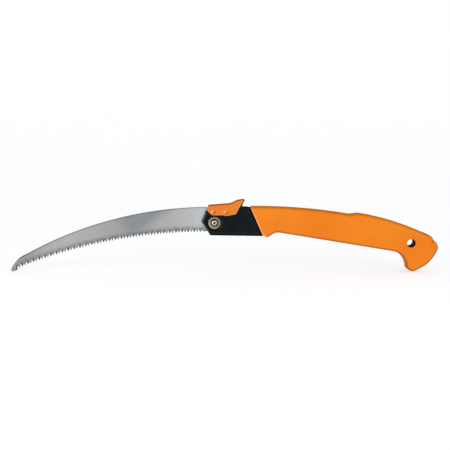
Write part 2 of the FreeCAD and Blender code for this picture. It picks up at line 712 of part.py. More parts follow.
# The front shell is drawn like the rear one and mirrored; the screws end inside it.
front_half = doc.addObject("PartDesign::Body", "front_half")
draw_shell(front_half, "front")
for post in POSTS:
    cut_disc(front_half, "post_boss_" + post, "-overrun", "post_depth", "post_radius",
             "post_%s_x" % post, "post_%s_z" % post)
handle_front = doc.addObject("Part::Mirroring", "handle_front")
handle_front.Label = "handle_front"
handle_front.Source = front_half
handle_front.Normal = Vector(0, 1, 0)
place(handle_front)

handle_rear = new_body("handle_rear")
draw_shell(handle_rear, "rear")
for post in POSTS:
    centre = ("post_%s_x" % post, "post_%s_z" % post)
    cut_disc(handle_rear, "post_way_" + post, "-overrun", "post_seat",
             "post_radius + post_play", *centre)
    cut_disc(handle_rear, "post_recess_" + post, "post_seat", "handle_half + overrun",
             "post_recess", *centre)

for number, post in enumerate(POSTS):
    screw = new_body("handle_screw_%d" % (number + 1))
    centre = ("post_%s_x" % post, "post_%s_z" % post)
    pad_disc(screw, "post_shank_" + post, "-post_depth", "post_seat", "post_radius", *centre)
    top = "post_seat + post_head_height"
    pad_disc(screw, "post_head_" + post, "post_seat", top, "post_head_radius", *centre)
    dress(screw, "PartDesign::Fillet", "post_dome_" + post, "post_dome",
          lambda edge: lies_at(edge, value(top)))
    floor = top + " - cross_depth"
    cut_bar(screw, "cross_level_" + post, floor, top, *centre, "cross_long", "cross_wide")
    cut_bar(screw, "cross_upright_" + post, floor, top, *centre, "cross_wide", "cross_long")

# ---------------------------------------------------------------- check and write

doc.recompute()
for item in doc.Objects:
    if "Invalid" in item.State or "Error" in item.State:
        raise RuntimeError("%s did not compute" % item.Label)
for subpart in subparts:
    if subpart.Shape.isNull() or not subpart.Shape.isValid():
        raise RuntimeError("%s has no valid shape" % subpart.Label)
os.makedirs("parts", exist_ok=True)
for subpart in subparts:
    subpart.Shape.exportStep("parts/%s.step" % subpart.Label)
print("wrote", len(subparts), "sub-parts")
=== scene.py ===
import json
import math

import bmesh
import bpy
import numpy as np
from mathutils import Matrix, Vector
from mathutils.geometry import delaunay_2d_cdt


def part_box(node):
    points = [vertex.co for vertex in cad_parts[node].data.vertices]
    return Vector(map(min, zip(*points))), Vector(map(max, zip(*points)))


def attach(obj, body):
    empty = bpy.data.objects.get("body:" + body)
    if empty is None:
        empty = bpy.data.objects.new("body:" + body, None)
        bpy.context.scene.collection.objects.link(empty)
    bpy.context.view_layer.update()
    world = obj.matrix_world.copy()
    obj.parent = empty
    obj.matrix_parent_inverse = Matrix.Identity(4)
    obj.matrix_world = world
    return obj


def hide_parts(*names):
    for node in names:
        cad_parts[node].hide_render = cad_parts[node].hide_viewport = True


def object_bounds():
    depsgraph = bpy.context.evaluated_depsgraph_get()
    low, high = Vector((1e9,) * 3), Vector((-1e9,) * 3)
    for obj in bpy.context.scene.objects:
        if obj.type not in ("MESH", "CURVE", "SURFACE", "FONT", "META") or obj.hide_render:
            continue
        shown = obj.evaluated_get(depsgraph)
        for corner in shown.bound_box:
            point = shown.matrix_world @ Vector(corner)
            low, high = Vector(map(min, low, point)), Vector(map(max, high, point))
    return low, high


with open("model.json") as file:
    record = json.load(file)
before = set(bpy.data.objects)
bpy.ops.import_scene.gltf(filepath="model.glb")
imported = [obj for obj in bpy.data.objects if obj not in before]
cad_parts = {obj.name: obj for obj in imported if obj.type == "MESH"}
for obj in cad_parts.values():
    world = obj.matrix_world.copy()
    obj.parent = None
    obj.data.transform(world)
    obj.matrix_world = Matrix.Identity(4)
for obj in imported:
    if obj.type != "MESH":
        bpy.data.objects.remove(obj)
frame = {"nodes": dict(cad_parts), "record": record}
cad_box = [[float(v) for v in corner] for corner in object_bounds()]

# Shapes are written in millimetres from the blade's pivot, as the CAD has them:
# +X along the handle, +Z up, Y through the thickness with the front at -Y.
MM = 0.001
joints = {joint["name"]: joint for joint in frame["record"]["behaviour"]["joints"]}
pivot_at = joints["blade_fold"]["pos_m"]
PIVOT = Vector(pivot_at)
HALF = (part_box("handle_rear")[1][1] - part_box("handle_rear")[0][1]) / MM


def place(x, y, z):
    """A point in metres in the row frame, from millimetres round the pivot."""
    return Vector((x * MM + PIVOT.x, y * MM, z * MM + PIVOT.z))


CM = 0.01
# The hanging hole is the record's first mount, and its centre is the record's origin.
HOLE = (-pivot_at[0] / MM, -pivot_at[2] / MM)
HOLE_RADIUS = frame["record"]["mounts"][0]["dims"]["r_mm"]
# Places that the shells and the materials share. The crease is the fold at the notch of the butt,
# the collar is the handle's slanted front edge, and the sill is the front end of the jaws'
# bottom edge.
CREASE = [(279.5, -22.0), (271.0, -32.5)]
COLLAR_TOP = place(45.1, 0, 21.0)
COLLAR_BACK = Vector((0.916, 0, 0.402))
JAW_SILL = place(-5.5, 0, -16.0)
JAW_SILL_UP = (0.01486, 0, 0.99989)

# ---------------------------------------------------------------- material helpers


class Nodes:
    """Short names for building one procedural material."""

    def __init__(self, name):
        self.material = bpy.data.materials.new(name)
        self.material.use_nodes = True
        self.tree = self.material.node_tree
        self.shader = self.tree.nodes["Principled BSDF"]

    def add(self, kind, **values):
        node = self.tree.nodes.new(kind)
        for key, value in values.items():
            if key in node.inputs:
                node.inputs[key].default_value = value
            else:
                setattr(node, key, value)
        return node

    def link(self, source, target):
        self.tree.links.new(source, target)

    def coords(self, scale=(1, 1, 1), centre=(0, 0, 0)):
        """Object coordinates about a centre, stretched by scale."""
        source = self.add("ShaderNodeTexCoord").outputs["Object"]
        mapping = self.add("ShaderNodeMapping", vector_type="POINT")
        mapping.inputs["Scale"].default_value = scale
        mapping.inputs["Location"].default_value = [-c * s for c, s in zip(centre, scale)]
        self.link(source, mapping.inputs["Vector"])
        return mapping.outputs["Vector"]

    def noise(self, vector, scale, detail=3.0, rough=0.5):
        node = self.add("ShaderNodeTexNoise", Scale=scale, Detail=detail, Roughness=rough)
        self.link(vector, node.inputs["Vector"])
        return node.outputs["Fac"]

    def ramp(self, fac, stops):
        """A colour ramp; stops are (position, value or colour)."""
        node = self.add("ShaderNodeValToRGB")
        elements = node.color_ramp.elements
        while len(elements) < len(stops):
            elements.new(0.5)
        for element, (position, colour) in zip(elements, stops):
            element.position = position
            if not isinstance(colour, (tuple, list)):
                colour = (colour, colour, colour)
            element.color = (*colour, 1)
        self.link(fac, node.inputs["Fac"])
        return node.outputs["Color"]

    def mix(self, fac, first, second, blend="MIX"):
        node = self.add("ShaderNodeMix", data_type="RGBA", blend_type=blend)
        for value, slot in ((fac, 0), (first, 6), (second, 7)):
            if hasattr(value, "is_linked"):
                self.link(value, node.inputs[slot])
            elif slot == 0:
                node.inputs[slot].default_value = value
            else:
                node.inputs[slot].default_value = (*value, 1)
        return node.outputs[2]

    def maths(self, operation, first, second=0.0):
        node = self.add("ShaderNodeMath", operation=operation)
        for value, slot in ((first, 0), (second, 1)):
            if hasattr(value, "is_linked"):
                self.link(value, node.inputs[slot])
            else:
                node.inputs[slot].default_value = value
        return node.outputs[0]

    def bump(self, height, distance, strength):
        node = self.add("ShaderNodeBump", Strength=strength, Distance=distance)
        self.link(height, node.inputs["Height"])
        return node.outputs["Normal"]

    def convex_edges(self, low, high):
        """High on convex edges."""
        point = self.add("ShaderNodeNewGeometry").outputs["Pointiness"]
        return self.ramp(point, [(low, 0.0), (high, 1.0)])

    def along(self, direction, stops, normal=False, centre=(0, 0, 0), both=False, unit=1.0):
        """A ramp over the position, or the surface normal, measured along a direction; both
        takes either side of the centre alike, and 1 on the ramp is one unit."""
        if normal:
            source = self.add("ShaderNodeTexCoord").outputs["Normal"]
        else:
            source = self.coords((1, 1, 1), centre)
        dot = self.add("ShaderNodeVectorMath", operation="DOT_PRODUCT")
        self.link(source, dot.inputs[0])
        dot.inputs[1].default_value = Vector(direction).normalized() / unit
        part = dot.outputs["Value"]
        if both:
            part = self.maths("ABSOLUTE", part)
        return self.ramp(part, stops)

    def reach(self, centre, unit, stops):
        """A ramp over the distance from an axis along Y; 1 on the ramp is one unit."""
        length = self.add("ShaderNodeVectorMath", operation="LENGTH")
        self.link(self.coords((1 / unit, 0, 1 / unit), centre), length.inputs[0])
        return self.ramp(length.outputs["Value"], stops)

    def finish(self, colour=None, rough=None, normal=None, **values):
        for source, key in ((colour, "Base Color"), (rough, "Roughness"), (normal, "Normal")):
            if source is not None:
                self.link(source, self.shader.inputs[key])
        for key, value in values.items():
            self.shader.inputs[key.replace("_", " ")].default_value = value
        return self.material


def moulded(name, colour, dark, rough, grain, grain_depth, specular, scuff_and_highlight=None, detail=None,
            shadow=None):
    """Moulded plastic with a slow colour drift and a fine grain. The scuff colour goes on convex
    edges in
    patches, paler than the body: partly scuffing, partly a painted edge highlight. Detail adds its
    own tones, painted light and shade among them, and there is no shine on top or in the shadow."""
    n = Nodes(name)
    drift = n.noise(n.coords(), 22.0, 2.0)
    speck = n.noise(n.coords(), 900.0, 2.0)
    tone = n.mix(n.ramp(drift, [(0.35, 0.0), (0.65, 1.0)]), colour, dark)
    tone = n.mix(n.ramp(speck, [(0.3, 0.08), (0.7, 0.0)]), tone, [c * 0.6 for c in colour])
    if detail:
        tone = detail(n, tone)
    # Paler convex edges in patches: scuffing, and a painted edge highlight.
    if scuff_and_highlight:
        scuffs = n.ramp(n.noise(n.coords(), 160.0, 4.0), [(0.42, 0.0), (0.62, 0.55)])
        tone = n.mix(n.maths("MULTIPLY", n.convex_edges(0.51, 0.6), scuffs), tone, scuff_and_highlight)
    smear = n.noise(n.coords((1, 1, 3)), 60.0, 4.0)
    roughness = n.ramp(smear, [(0.3, rough - 0.06), (0.7, rough + 0.08)])
    fine = n.noise(n.coords(), grain, 3.0, 0.6)
    sheen = n.along((0, 0, 1), [(0.15, specular), (0.5, 0.0)], normal=True)
    if shadow:
        sheen = n.maths("MULTIPLY", sheen, n.maths("SUBTRACT", 1.0, shadow(n)))
    n.link(sheen, n.shader.inputs["Specular IOR Level"])
    return n.finish(tone, roughness, n.bump(fine, grain_depth, 0.5))


def turned(name, colour, rough, centre, pitch, depth, detail=None):
    """Turned metal with rings round an axis along Y; detail adds its own tones, painted light and
    shade among them.
    """
    n = Nodes(name)
    wave = n.add("ShaderNodeTexWave", wave_type="RINGS", rings_direction="Y", Scale=pitch,
                 Distortion=0.6, Detail=2.0)
    n.link(n.coords((1, 1, 1), centre), wave.inputs["Vector"])
    rings = wave.outputs["Fac"]
    stain = n.noise(n.coords(), 260.0, 4.0)
    tone = n.mix(n.ramp(stain, [(0.4, 0.0), (0.7, 0.6)]), colour, [c * 0.6 for c in colour])
    if detail:
        tone = detail(n, tone)
    roughness = n.ramp(rings, [(0.2, rough - 0.05), (0.8, rough + 0.1)])
    return n.finish(tone, roughness, n.bump(rings, depth, 0.4), Metallic=1.0)


# Colours are linear. Each detail function lays its own tones over a plain colour, painted
# highlights, reflections and shade among them.
ORANGE = (0.69, 0.185, 0.0036)
ORANGE_DEEP = (0.66, 0.159, 0.0034)
ORANGE_SCUFF_AND_HIGHLIGHT = (0.75, 0.3, 0.09)
ORANGE_HIGHLIGHT = (0.95, 0.47, 0.2)
ORANGE_SHADE = (0.2, 0.04, 0.003)
ORANGE_FOLD_SHADE = (0.3, 0.055, 0.003)
HOLE_SHADE = (0.055, 0.006, 0.004)
LATCH = (0.66, 0.175, 0.008)
LATCH_DEEP = (0.63, 0.15, 0.006)
LATCH_HIGHLIGHT = (1.0, 0.5, 0.22)
LATCH_TOP_SHADE = (0.28, 0.055, 0.003)
RIVET = (0.62, 0.17, 0.012)
RIVET_DEEP = (0.5, 0.13, 0.01)
RIVET_HIGHLIGHT = (1.0, 0.68, 0.42)
RIVET_SHADE = (0.2, 0.04, 0.006)
RIVET_FOOT_SHADE = (0.12, 0.02, 0.003)
JAW = (0.0008, 0.0032, 0.0047)
JAW_DEEP = (0.0004, 0.0022, 0.0035)
JAW_SCUFF_AND_HIGHLIGHT = (0.02, 0.026, 0.03)
JAW_NOSE_HIGHLIGHT = (0.06, 0.085, 0.085)
JAW_SILL_HIGHLIGHT = (0.0065, 0.0085, 0.01)
JAW_SHADE_LINE = (0.0006, 0.0004, 0.0004)
CORE = (0.004, 0.004, 0.005)
CORE_DEEP = (0.003, 0.003, 0.0035)
CORE_SCUFF_AND_HIGHLIGHT = (0.02, 0.02, 0.022)
BRONZE = (0.215, 0.168, 0.11)
BRONZE_PAINTED_LIGHT = (0.44, 0.33, 0.22)
BRONZE_RECESS_SHADE = (0.012, 0.007, 0.004)
NUT_STEEL = (0.5, 0.51, 0.53)
PIVOT_STEEL = (0.5, 0.52, 0.55)
SCREW_STEEL = (0.46, 0.46, 0.48)
SOCKET_SHADE = (0.006, 0.006, 0.007)
SPRING_STEEL = (0.3, 0.3, 0.31)
GRIND_LINE = (0.2, 0.2, 0.2)
GRIND_BAND = (0.22, 0.22, 0.225)
BLUE_REFLECTION = (0.178, 0.192, 0.203)
SPINE_LINE = (0.05, 0.05, 0.055)
ROOT_SHADE_AND_SMUDGES = (0.13, 0.13, 0.135)
BEVEL_LEFT_SHADE = (0.08, 0.08, 0.085)
BEVEL_RIGHT_SHADE = (0.006, 0.006, 0.007)

# The blade's painted reflection from the pivot to the tip, and the arcs of its spine and its gullet
# roots.
BLADE_REFLECTION = [(0.0, (0.485, 0.525, 0.535)), (0.14, 0.376), (0.27, 0.322), (0.4, 0.285),
              (0.49, 0.262), (0.58, 0.285), (0.73, 0.306), (0.85, 0.269), (0.93, 0.2),
              (0.975, 0.205), (1.0, 0.36)]
BLADE_LENGTH = 0.26
SPINE_CENTRE = place(-4.78, 0, -468.08)
SPINE_UNIT = 0.5
ROOT_CENTRE = place(-8.97, 0, -668.29)
ROOT_UNIT = 0.7


def grip_painted_light(n, tone):
    """Painted shade on the rounded edges towards the parting line, a painted highlight on the collar
    edge, and painted shade in the hole and along the fold.
    """
    # Painted shade on the rounded edges that face sideways and down.
    side = n.along((0, 1, 0), [(0.0, 0.7), (0.86, 0.55), (0.98, 0.0)], normal=True, both=True)
    lower = n.along((0, 0, 1), [(0.0, 1.0), (0.3, 0.25)], normal=True)
    tone = n.mix(n.maths("MULTIPLY", side, lower), tone, ORANGE_SHADE)
    # Painted highlight on the rounded collar edge, where it faces left and down.
    rounding = n.along((0, 1, 0), [(0.2, 0.0), (0.5, 1.0), (0.9, 0.6), (0.97, 0.0)], normal=True,
                       both=True)
    left = n.along((-1, 0, -0.3), [(0.1, 0.0), (0.35, 0.8)], normal=True)
    collar = n.along(COLLAR_BACK, [(0.012, 1.0), (0.02, 0.0)], centre=COLLAR_TOP)
    pale = n.maths("MULTIPLY", n.maths("MULTIPLY", rounding, left), collar)
    tone = n.mix(pale, tone, ORANGE_HIGHLIGHT)
    # Painted shade in the hanging hole.
    tone = n.mix(hole_shadow(n), tone, HOLE_SHADE)
    # Painted shade along the crease that runs in from the notch of the butt.
    (top_x, top_z), (end_x, end_z) = CREASE
    run = (end_x - top_x, 0, end_z - top_z)
    across = (run[2], 0, -run[0])
    top = place(top_x, 0, top_z)
    fold = n.along(across, [(0.0, 0.3), (0.2, 0.0)], centre=top, both=True, unit=CM)
    fade = n.along(run, [(0.0, 1.0), (0.6, 0.8), (1.3, 0.0)], centre=top, unit=CM)
    return n.mix(n.maths("MULTIPLY", fold, fade), tone, ORANGE_FOLD_SHADE)


def hole_shadow(n):
    """Painted shade on the wall of the hanging hole and the start of its rounded rim; the shine is
    taken off there too.
    """
    centre = place(HOLE[0], 0, HOLE[1])
    return n.reach(centre, CM, [(0.525, 1.0), (0.565, 0.25), (0.6, 0.0)])


def latch_painted_light(n, tone):
    """Painted highlights on the lower edges and painted shade on the top."""
    # Painted highlights on the rounded lower edges.
    rounding = n.along((0, 1, 0), [(0.15, 0.0), (0.45, 1.0), (0.85, 1.0), (0.96, 0.0)],
                       normal=True, both=True)
    lower = n.along((0, 0, -1), [(0.02, 0.0), (0.2, 0.8)], normal=True)
    tone = n.mix(n.maths("MULTIPLY", rounding, lower), tone, LATCH_HIGHLIGHT)
    # Painted shade on the top.
    top = n.along((0, 0, 1), [(0.3, 0.0), (0.8, 0.6)], normal=True)
    return n.mix(top, tone, LATCH_TOP_SHADE)


def rivet_painted_light(n, tone):
    """A painted highlight on the upper left of each head, painted shade on the lower right, and
    painted shade round the foot.
    """
    lit = n.along((-0.7, 0, 0.7), [(0.15, 0.0), (0.45, 1.0), (0.9, 0.4)], normal=True)
    tone = n.mix(lit, tone, RIVET_HIGHLIGHT)
    dim = n.along((0.7, 0, -0.7), [(0.15, 0.0), (0.5, 0.85)], normal=True)
    tone = n.mix(dim, tone, RIVET_SHADE)
    foot = n.along((0, 1, 0), [(0.1, 0.8), (0.4, 0.0)], normal=True, both=True)
    return n.mix(foot, tone, RIVET_FOOT_SHADE)


def jaw_painted_light(n, tone):
    """Painted highlights on the nose facets and in a line above the bottom bevel, and painted shade
    lines along the bottom and against the collar.
    """
    # Painted highlights on the nose facets.
    for facet in ((-0.68, -0.71, 0.15), (-0.68, 0.71, 0.15)):
        nose = n.along(facet, [(0.8, 0.0), (0.98, 1.0)], normal=True)
        tone = n.mix(nose, tone, JAW_NOSE_HIGHLIGHT)
    # A painted highlight line a little above the bottom edge.
    sill = n.along(JAW_SILL_UP, [(0.19, 0.0), (0.26, 1.0), (0.36, 1.0), (0.46, 0.0)],
                   centre=JAW_SILL, unit=CM)
    tone = n.mix(sill, tone, JAW_SILL_HIGHLIGHT)
    # Painted shade lines along the bottom and against the collar.
    return n.mix(jaw_shadow(n), tone, JAW_SHADE_LINE)


def jaw_shadow(n):
    """The painted shade lines along the bottom of the jaw and against the handle's collar; the shine
    is taken off there too.
    """
    line = n.along(-COLLAR_BACK, [(0.08, 1.0), (0.2, 0.0)], centre=COLLAR_TOP, unit=CM)
    foot = n.along(JAW_SILL_UP, [(0.17, 1.0), (0.22, 0.0)], centre=JAW_SILL, unit=CM)
    return n.maths("MAXIMUM", line, foot)


def bronze_painted_light(n, tone):
    """Painted light, paler towards the lower left, with painted shade in the recess and on the outer
    rim.
    """
    pale = n.along((-1, 0, -1), [(0.0, 0.0), (0.007, 0.7)], centre=PIVOT)
    tone = n.mix(pale, tone, BRONZE_PAINTED_LIGHT)
    # Painted shade in the recess and on the outer rim.
    rim = n.reach(PIVOT, CM, [(0.48, 1.0), (0.5, 0.0), (0.72, 0.0), (0.79, 0.55)])
    return n.mix(rim, tone, BRONZE_RECESS_SHADE)


def screw_painted_shade(n, tone):
    """Painted shade: a black socket and a dark foot, with the bright crown between."""
    socket = n.reach(PIVOT, CM, [(0.135, 1.0), (0.155, 0.0), (0.3, 0.0), (0.37, 0.8)])
    return n.mix(socket, tone, SOCKET_SHADE)


def ground_blade(name):
    """Steel ground in lines across the blade, with a painted reflection along it, painted shade on
    the teeth and their bevels, and a dark spine.
    """
    n = Nodes(name)
    fine = n.noise(n.coords((2600, 400, 30)), 1.0, 4.0, 0.6)
    broad = n.noise(n.coords((420, 100, 9)), 1.0, 3.0, 0.5)
    # Painted reflection along the blade.
    tone = n.along((-1, 0, 0), BLADE_REFLECTION, centre=PIVOT, unit=BLADE_LENGTH)
    # A painted bluish reflection that slants across the middle of the blade.
    slant = n.along((-0.6, 0, 0.8), [(0.0, 0.0), (1.0, 0.9)], centre=place(-66, 0, 2), unit=0.014)
    fade = n.along((1, 0, 0.9), [(0.0, 0.0), (1.0, 1.0)], centre=place(-132, 0, 0), unit=0.016)
    tone = n.mix(n.maths("MULTIPLY", slant, fade), tone, BLUE_REFLECTION)
    tone = n.mix(n.ramp(fine, [(0.3, 0.16), (0.7, 0.0)]), tone, GRIND_LINE)
    tone = n.mix(n.ramp(broad, [(0.35, 0.14), (0.65, 0.0)]), tone, GRIND_BAND)
    spine = n.reach(SPINE_CENTRE, SPINE_UNIT, [(0.9732, 0.0), (0.9755, 0.88)])
    tone = n.mix(spine, tone, SPINE_LINE)
    # Painted shade over the teeth below the gullet roots, broken up into blotchy smudges.
    root = n.reach(ROOT_CENTRE, ROOT_UNIT, [(0.9375, 1.0), (0.945, 0.7), (0.9495, 0.0)])
    blotch = n.ramp(n.noise(n.coords(), 330.0, 3.0), [(0.4, 0.5), (0.6, 1.0)])
    tone = n.mix(n.maths("MULTIPLY", root, blotch), tone, ROOT_SHADE_AND_SMUDGES)
    # Painted shade on the tooth bevels: lighter where they face left, darkest where they face right.
    left = n.along((-1, 0, 0), [(0.15, 0.0), (0.4, 0.8)], normal=True)
    tone = n.mix(left, tone, BEVEL_LEFT_SHADE)
    right = n.along((1, 0, 0), [(0.15, 0.0), (0.4, 0.97)], normal=True)
    tone = n.mix(right, tone, BEVEL_RIGHT_SHADE)
    roughness = n.ramp(fine, [(0.25, 0.5), (0.75, 0.34)])
    return n.finish(tone, roughness, n.bump(fine, 0.000012, 0.5), Metallic=1.0)


hinge_centre = tuple(joints["latch_press"]["pos_m"])
grip_orange = moulded("grip_orange", ORANGE, ORANGE_DEEP, rough=0.5, grain=1400.0,
                      grain_depth=0.00006, scuff_and_highlight=ORANGE_SCUFF_AND_HIGHLIGHT, specular=0.15,
                      detail=grip_painted_light, shadow=hole_shadow)
latch_orange = moulded("latch_orange", LATCH, LATCH_DEEP, rough=0.4, grain=1100.0,
                       grain_depth=0.00004, specular=0.2, detail=latch_painted_light)
rivet_orange = moulded("rivet_orange", RIVET, RIVET_DEEP, rough=0.3, grain=2200.0,
                       grain_depth=0.00002, specular=0.5, detail=rivet_painted_light)
jaw_black = moulded("jaw_black", JAW, JAW_DEEP, rough=0.4, grain=1600.0, grain_depth=0.00004,
                    scuff_and_highlight=JAW_SCUFF_AND_HIGHLIGHT, specular=0.08, detail=jaw_painted_light, shadow=jaw_shadow)
core_black = moulded("core_black", CORE, CORE_DEEP, rough=0.5, grain=1600.0,
                     grain_depth=0.00004, scuff_and_highlight=CORE_SCUFF_AND_HIGHLIGHT, specular=0.1)
bright_steel = turned("bright_steel", NUT_STEEL, rough=0.26, centre=PIVOT, pitch=700.0,
                      depth=0.00002)
pivot_steel = turned("pivot_steel", PIVOT_STEEL, rough=0.24, centre=PIVOT, pitch=700.0,
                     depth=0.00002, detail=screw_painted_shade)
screw_steel = turned("screw_steel", SCREW_STEEL, rough=0.32, centre=(0, 0, 0), pitch=500.0,
                     depth=0.00001)
bronze = turned("bronze", BRONZE, rough=0.36, centre=PIVOT, pitch=620.0, depth=0.00003,
                detail=bronze_painted_light)
spring_steel = turned("spring_steel", SPRING_STEEL, rough=0.35, centre=hinge_centre, pitch=900.0,
                      depth=0.00001)
blade_steel = ground_blade("blade_steel")

node_materials = {
    "blade": blade_steel, "pivot_screw": pivot_steel, "pivot_nut": bright_steel,
    "pivot_barrel": bright_steel, "pivot_washer_front": bronze, "pivot_washer_rear": bronze,
    "thrust_washer_front": bronze, "thrust_washer_rear": bronze, "jaw_front": jaw_black,
    "jaw_rear": jaw_black, "jaw_spacer": jaw_black, "latch_saddle": latch_orange,
    "latch_core": core_black, "latch_hinge_rivet": rivet_orange,
    "latch_lock_pin": rivet_orange, "latch_spring": spring_steel,
    "handle_front": grip_orange, "handle_rear": grip_orange}
# The jaws and the insert get a fine bevel, after their loose vertices are joined.
BEVELLED = ("jaw_front", "jaw_rear", "latch_core")
BEVEL_WIDTH = 0.25
WELD_REACH = 0.002
BEVEL_ANGLE = math.radians(32)
for name, node in frame["nodes"].items():
    material = node_materials.get(name, screw_steel)
    node.data.materials.clear()
    node.data.materials.append(material)
    if name in BEVELLED:
        weld = node.modifiers.new("weld", "WELD")
        weld.merge_threshold = WELD_REACH * MM
        bevel = node.modifiers.new("edge", "BEVEL")
        bevel.width = BEVEL_WIDTH * MM
        bevel.segments = 2
        bevel.limit_method = "ANGLE"
        bevel.angle_limit = BEVEL_ANGLE

# ---------------------------------------------------------------- handle shells

# Corners of the handle outline, and the arcs that leave some of them.
HANDLE = [
    ("brow", 45.1, 21.0), ("collar_low", 62.0, -17.5), ("guard", 67.7, -19.6),
    ("guard_back", 73.6, -15.0), ("palm_front", 77.4, -12.8), ("palm_mid", 82.6, -12.8),
    ("palm_start", 91.5, -14.3), ("palm_end", 224.6, -36.2), ("hook_top", 229.8, -37.25),
    ("hook_front", 244.55, -57.5), ("hook_tip", 245.2, -59.5), ("hook_low", 252.6, -63.1),
    ("butt_low", 285.6, -31.6), ("butt_top", 283.0, -25.0), ("notch", 279.5, -22.5),
    ("tail_end", 277.0, -17.4), ("tail_start", 188.8, 11.6), ("step_high", 183.7, 12.5),
    ("step_mid", 178.6, 12.1), ("step_low", 173.4, 10.9)]
ARCS = {"hook_top": (24.04, True), "hook_low": (49.92, False), "tail_end": (329.53, False),
        "step_low": (713.76, False)}
# Places where the outline turns softly: x, z, reach, amount.
SOFT = [(72, -16, 14, 1.0), (82, -13, 13, 1.0), (227, -37, 9, 1.0), (180, 12, 12, 1.0),
        (253, -63, 3, 0.6), (285, -29, 4, 0.6)]
SOFT_BASE = 0.25
SOFT_PASSES = 10
# Spacing of the points along the outline.
STEP = 0.9
# Chamfer along the parting line between the shells.
SEAM = 0.2
# The grip's skin lies a little inside the CAD outline, more so inside the hook, up to the butt.
TRIM = 0.5
HOOK_TRIM = 1.1
TRIM_END = 268.0
TRIM_PASSES = 6

# Each rounding is how far it reaches in from the edge and how far it drops at the edge.
SIDE_ROUNDING = (3.4, 3.6)
COLLAR_ROUNDING = (2.2, 2.4)
RIM_ROUNDING = (0.95, 0.8)
# The sides swell by this much away from the edge, over this distance.
SWELL = 0.55
SWELL_REACH = 7.0
CREASE_DROP = 1.1
CREASE_WIDTH = 1.6
# The crease runs from a little before its start to a little past its end, in its own lengths.
CREASE_FIRST = -0.3
CREASE_LAST = 1.25

# Rows of points that follow the outline and the hole: distance from it, and every how many points.
# A point is dropped where another stretch of the outline is nearer than its row's distance.
OUTLINE_ROWS = ((0.12, 1), (0.4, 1), (0.8, 1), (1.4, 1), (2.2, 2), (3.2, 2), (4.6, 3), (6.2, 3),
                (8.0, 4))
HOLE_ROWS = ((0.12, 1), (0.3, 1), (0.6, 1), (0.95, 1), (1.7, 2))
HOLE_POINTS = 56
ROW_SLACK = 0.985
GRID_STEP = 2.6
GRID_MARGIN = 9.4
ROWS_TO_HOLE = 2.2
GRID_TO_HOLE = 3

# The blade slot, the pocket for the jaws' tongues and the ways for the handle screws.
SLOT_HALF = 1.6
SLOT_MOUTH = (40.0, 3.89)
SLOT_ROOF_TURN = (257.0, -16.2)
SLOT_ROOF_END = (267.3, -16.5)
SLOT_END_TOP = (268.75, -17.25)
SLOT_END_LOW = (261.09, -66.0)
SLOT_MOUTH_LOW = (40.0, -66.0)
SLOT_ROOF_RADIUS = 652.5
SLOT_END_RADIUS = 269.3
TONGUE_HALF = 5.35
TONGUE = [(40.0, 4.2), (80.0, 4.2), (80.0, 15.0), (40.0, 15.0)]
RECESS_RADIUS = 3.3
RECESS_SEAT = 7.0
WAY_RADIUS = 1.6
WAY_END = 7.5
OVERRUN = 1.0
SHARP_ANGLE = math.radians(38)


def arc_points(start, end, radius, clockwise):
    """Points along the short arc from start to end, without the end."""
    start, end = Vector(start), Vector(end)
    half = (end - start) / 2
    left = Vector((-half.y, half.x)).normalized()
    reach = math.sqrt(max(radius ** 2 - half.length ** 2, 0))
    centre = start + half + left * (-reach if clockwise else reach)
    first = math.atan2(start.y - centre.y, start.x - centre.x)
    turn = 2 * math.asin(min(1, half.length / radius)) * (-1 if clockwise else 1)
    count = max(2, int(abs(turn) * radius / STEP))
    return [(centre.x + radius * math.cos(first + turn * i / count),
             centre.y + radius * math.sin(first + turn * i / count)) for i in range(count)]


def outline_points():
    """The handle outline at even steps, counter-clockwise, softened and trimmed, with a mark on
    the points of the collar."""
    points = []
    names = []
    for i, (name, x, z) in enumerate(HANDLE):
        following = HANDLE[(i + 1) % len(HANDLE)][1:]
        if name in ARCS:
            run = arc_points((x, z), following, *ARCS[name])
        else:
            count = max(1, int(math.dist((x, z), following) / STEP))
            run = [(x + (following[0] - x) * k / count, z + (following[1] - z) * k / count)
                   for k in range(count)]
        points += run
        names += [name] * len(run)
    points = np.array(points)
    names = np.array(names)
    amount = np.full(len(points), SOFT_BASE)
    for x, z, reach, strength in SOFT:
        near = np.hypot(points[:, 0] - x, points[:, 1] - z) < reach
        amount[near] = np.maximum(amount[near], strength)
    for _ in range(SOFT_PASSES):
        middle = (np.roll(points, 1, 0) + np.roll(points, -1, 0)) / 2
        points = points + (middle - points) * 0.5 * amount[:, None]
    on_collar = names == "brow"
    trim = np.where(on_collar | (points[:, 0] > TRIM_END), 0.0, TRIM)
    trim[np.isin(names, ("hook_top", "hook_front"))] = HOOK_TRIM
    for _ in range(TRIM_PASSES):
        trim = (np.roll(trim, 1) + trim + np.roll(trim, -1)) / 3
    return points + inward_normals(points) * trim[:, None], on_collar


def inward_normals(loop):
    """Unit vectors that point into a counter-clockwise loop."""
    run = np.roll(loop, -1, 0) - np.roll(loop, 1, 0)
    return np.stack([-run[:, 1], run[:, 0]], 1) / np.hypot(run[:, 0], run[:, 1])[:, None]


def distance(points, loop, chosen=None):
    """Distance from each point to the closed loop, or to its chosen segments."""
    start = loop
    end = np.roll(loop, -1, 0)
    if chosen is not None:
        start, end = start[chosen], end[chosen]
    best = np.full(len(points), 1e9)
    for a, b in zip(start, end):
        run = b - a
        along = np.clip(((points - a) @ run) / (run @ run), 0, 1)
        gap = points - (a + along[:, None] * run)
        best = np.minimum(best, np.hypot(gap[:, 0], gap[:, 1]))
    return best


